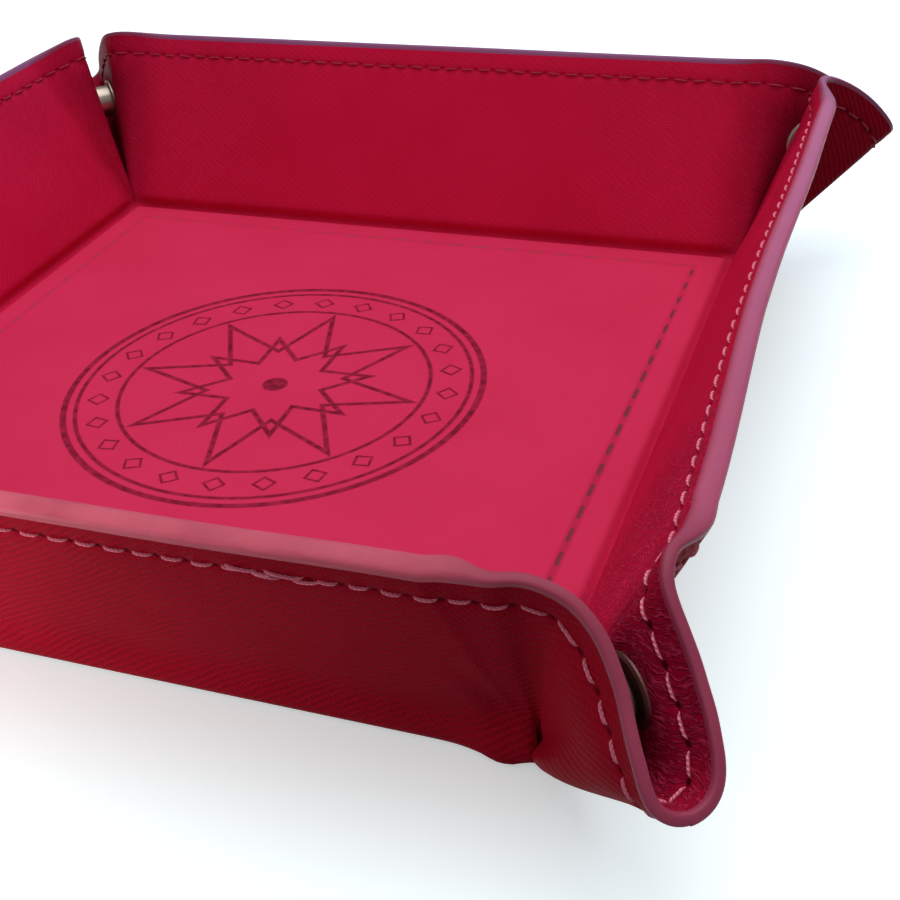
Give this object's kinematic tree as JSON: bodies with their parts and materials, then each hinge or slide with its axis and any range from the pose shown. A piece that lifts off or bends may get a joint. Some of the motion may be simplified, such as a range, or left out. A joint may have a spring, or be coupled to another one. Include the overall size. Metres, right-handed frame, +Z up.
{
  "type": "snap-up dice tray",
  "caption": "Square stitched leatherette dice tray with stiffened folding walls and snapped corner ears.",
  "frame": {"origin": "middle of the base's underside, where the tray rests", "axes": "+Z up, -Y to the front wall, +X to the right wall"},
  "size_m": [0.204, 0.204, 0.0414],
  "materials": {
    "cover": "fine slanted grain, deep crimson, satin",
    "lining": "fine grain, crimson red, satin",
    "board": "plain fibreboard, hidden",
    "snap": "nickel-plated, bright"
  },
  "bodies": {
    "base": {"base_cover": "cover", "base_board": "board", "base_lining": "lining", "front_crease": "cover", "right_crease": "cover", "back_crease": "cover", "left_crease": "cover"},
    "front_wall": {"front_wall_cover": "cover", "front_wall_board": "board", "front_wall_lining": "lining", "front_right_bend": "cover", "front_left_bend": "cover"},
    "front_right_flap": {"front_right_flap": "cover", "front_right_snap_socket": "snap"},
    "front_right_loop": {"front_right_loop": "cover"},
    "front_left_flap": {"front_left_flap": "cover", "front_left_snap_socket": "snap"},
    "front_left_loop": {"front_left_loop": "cover"},
    "right_wall": {"right_wall_cover": "cover", "right_wall_board": "board", "right_wall_lining": "lining", "right_back_bend": "cover", "right_front_bend": "cover"},
    "right_back_flap": {"right_back_flap": "cover", "right_back_snap_stud": "snap"},
    "right_back_loop": {"right_back_loop": "cover"},
    "right_front_flap": {"right_front_flap": "cover", "right_front_snap_stud": "snap"},
    "right_front_loop": {"right_front_loop": "cover"},
    "back_wall": {"back_wall_cover": "cover", "back_wall_board": "board", "back_wall_lining": "lining", "back_left_bend": "cover", "back_right_bend": "cover"},
    "back_left_flap": {"back_left_flap": "cover", "back_left_snap_socket": "snap"},
    "back_left_loop": {"back_left_loop": "cover"},
    "back_right_flap": {"back_right_flap": "cover", "back_right_snap_socket": "snap"},
    "back_right_loop": {"back_right_loop": "cover"},
    "left_wall": {"left_wall_cover": "cover", "left_wall_board": "board", "left_wall_lining": "lining", "left_front_bend": "cover", "left_back_bend": "cover"},
    "left_front_flap": {"left_front_flap": "cover", "left_front_snap_stud": "snap"},
    "left_front_loop": {"left_front_loop": "cover"},
    "left_back_flap": {"left_back_flap": "cover", "left_back_snap_stud": "snap"},
    "left_back_loop": {"left_back_loop": "cover"}
  },
  "joints": [
    {"name": "front_wall_fold", "type": "hinge", "parent": "base", "child": "front_wall", "pos_m": [0, -0.0743, 0.00155], "axis": [1, 0, 0], "range_deg": [0, 66.5], "deforming": ["front_crease"]},
    {"name": "front_right_flap_fold", "type": "hinge", "parent": "front_wall", "child": "front_right_flap", "pos_m": [0.0743, -0.0743, 0.00155], "axis": [0.2086, -0.4221, 0.8822], "range_deg": [0, 49.28], "deforming": ["front_right_bend"]},
    {"name": "front_right_loop_fold", "type": "hinge", "parent": "front_right_flap", "child": "front_right_loop", "pos_m": [0.0743, -0.0743, 0.00155], "axis": [-0.5455, 0.6299, -0.5529], "range_deg": [0, 86.49], "deforming": ["front_right_loop"]},
    {"name": "front_left_flap_fold", "type": "hinge", "parent": "front_wall", "child": "front_left_flap", "pos_m": [-0.0743, -0.0743, 0.00155], "axis": [0.2086, 0.4221, -0.8822], "range_deg": [0, 49.28], "deforming": ["front_left_bend"]},
    {"name": "front_left_loop_fold", "type": "hinge", "parent": "front_left_flap", "child": "front_left_loop", "pos_m": [-0.0743, -0.0743, 0.00155], "axis": [-0.5455, -0.6299, 0.5529], "range_deg": [0, 86.49], "deforming": ["front_left_loop"]},
    {"name": "right_wall_fold", "type": "hinge", "parent": "base", "child": "right_wall", "pos_m": [0.0743, 0, 0.00155], "axis": [0, 1, 0], "range_deg": [0, 66.5], "deforming": ["right_crease"]},
    {"name": "right_back_flap_fold", "type": "hinge", "parent": "right_wall", "child": "right_back_flap", "pos_m": [0.0743, 0.0743, 0.00155], "axis": [0.4221, 0.2086, 0.8822], "range_deg": [0, 49.28], "deforming": ["right_back_bend"]},
    {"name": "right_back_loop_fold", "type": "hinge", "parent": "right_back_flap", "child": "right_back_loop", "pos_m": [0.0743, 0.0743, 0.00155], "axis": [-0.6299, -0.5455, -0.5529], "range_deg": [0, 86.49], "deforming": ["right_back_loop"]},
    {"name": "right_front_flap_fold", "type": "hinge", "parent": "right_wall", "child": "right_front_flap", "pos_m": [0.0743, -0.0743, 0.00155], "axis": [-0.4221, 0.2086, -0.8822], "range_deg": [0, 49.28], "deforming": ["right_front_bend"]},
    {"name": "right_front_loop_fold", "type": "hinge", "parent": "right_front_flap", "child": "right_front_loop", "pos_m": [0.0743, -0.0743, 0.00155], "axis": [0.6299, -0.5455, 0.5529], "range_deg": [0, 86.49], "deforming": ["right_front_loop"]},
    {"name": "back_wall_fold", "type": "hinge", "parent": "base", "child": "back_wall", "pos_m": [0, 0.0743, 0.00155], "axis": [-1, 0, 0], "range_deg": [0, 66.5], "deforming": ["back_crease"]},
    {"name": "back_left_flap_fold", "type": "hinge", "parent": "back_wall", "child": "back_left_flap", "pos_m": [-0.0743, 0.0743, 0.00155], "axis": [-0.2086, 0.4221, 0.8822], "range_deg": [0, 49.28], "deforming": ["back_left_bend"]},
    {"name": "back_left_loop_fold", "type": "hinge", "parent": "back_left_flap", "child": "back_left_loop", "pos_m": [-0.0743, 0.0743, 0.00155], "axis": [0.5455, -0.6299, -0.5529], "range_deg": [0, 86.49], "deforming": ["back_left_loop"]},
    {"name": "back_right_flap_fold", "type": "hinge", "parent": "back_wall", "child": "back_right_flap", "pos_m": [0.0743, 0.0743, 0.00155], "axis": [-0.2086, -0.4221, -0.8822], "range_deg": [0, 49.28], "deforming": ["back_right_bend"]},
    {"name": "back_right_loop_fold", "type": "hinge", "parent": "back_right_flap", "child": "back_right_loop", "pos_m": [0.0743, 0.0743, 0.00155], "axis": [0.5455, 0.6299, 0.5529], "range_deg": [0, 86.49], "deforming": ["back_right_loop"]},
    {"name": "left_wall_fold", "type": "hinge", "parent": "base", "child": "left_wall", "pos_m": [-0.0743, 0, 0.00155], "axis": [0, -1, 0], "range_deg": [0, 66.5], "deforming": ["left_crease"]},
    {"name": "left_front_flap_fold", "type": "hinge", "parent": "left_wall", "child": "left_front_flap", "pos_m": [-0.0743, -0.0743, 0.00155], "axis": [-0.4221, -0.2086, 0.8822], "range_deg": [0, 49.28], "deforming": ["left_front_bend"]},
    {"name": "left_front_loop_fold", "type": "hinge", "parent": "left_front_flap", "child": "left_front_loop", "pos_m": [-0.0743, -0.0743, 0.00155], "axis": [0.6299, 0.5455, -0.5529], "range_deg": [0, 86.49], "deforming": ["left_front_loop"]},
    {"name": "left_back_flap_fold", "type": "hinge", "parent": "left_wall", "child": "left_back_flap", "pos_m": [-0.0743, 0.0743, 0.00155], "axis": [0.4221, -0.2086, -0.8822], "range_deg": [0, 49.28], "deforming": ["left_back_bend"]},
    {"name": "left_back_loop_fold", "type": "hinge", "parent": "left_back_flap", "child": "left_back_loop", "pos_m": [-0.0743, 0.0743, 0.00155], "axis": [-0.6299, 0.5455, 0.5529], "range_deg": [0, 86.49], "deforming": ["left_back_loop"]}
  ],
  "couplings": [
    {"joint": "front_right_flap_fold", "follows": "front_wall_fold", "ratio": 0.74108},
    {"joint": "front_right_loop_fold", "follows": "front_wall_fold", "ratio": 1.3006},
    {"joint": "front_left_flap_fold", "follows": "front_wall_fold", "ratio": 0.74108},
    {"joint": "front_left_loop_fold", "follows": "front_wall_fold", "ratio": 1.3006},
    {"joint": "right_wall_fold", "follows": "front_wall_fold", "ratio": 1},
    {"joint": "right_back_flap_fold", "follows": "front_wall_fold", "ratio": 0.74108},
    {"joint": "right_back_loop_fold", "follows": "front_wall_fold", "ratio": 1.3006},
    {"joint": "right_front_flap_fold", "follows": "front_wall_fold", "ratio": 0.74108},
    {"joint": "right_front_loop_fold", "follows": "front_wall_fold", "ratio": 1.3006},
    {"joint": "back_wall_fold", "follows": "front_wall_fold", "ratio": 1},
    {"joint": "back_left_flap_fold", "follows": "front_wall_fold", "ratio": 0.74108},
    {"joint": "back_left_loop_fold", "follows": "front_wall_fold", "ratio": 1.3006},
    {"joint": "back_right_flap_fold", "follows": "front_wall_fold", "ratio": 0.74108},
    {"joint": "back_right_loop_fold", "follows": "front_wall_fold", "ratio": 1.3006},
    {"joint": "left_wall_fold", "follows": "front_wall_fold", "ratio": 1},
    {"joint": "left_front_flap_fold", "follows": "front_wall_fold", "ratio": 0.74108},
    {"joint": "left_front_loop_fold", "follows": "front_wall_fold", "ratio": 1.3006},
    {"joint": "left_back_flap_fold", "follows": "front_wall_fold", "ratio": 0.74108},
    {"joint": "left_back_loop_fold", "follows": "front_wall_fold", "ratio": 1.3006}
  ]
}
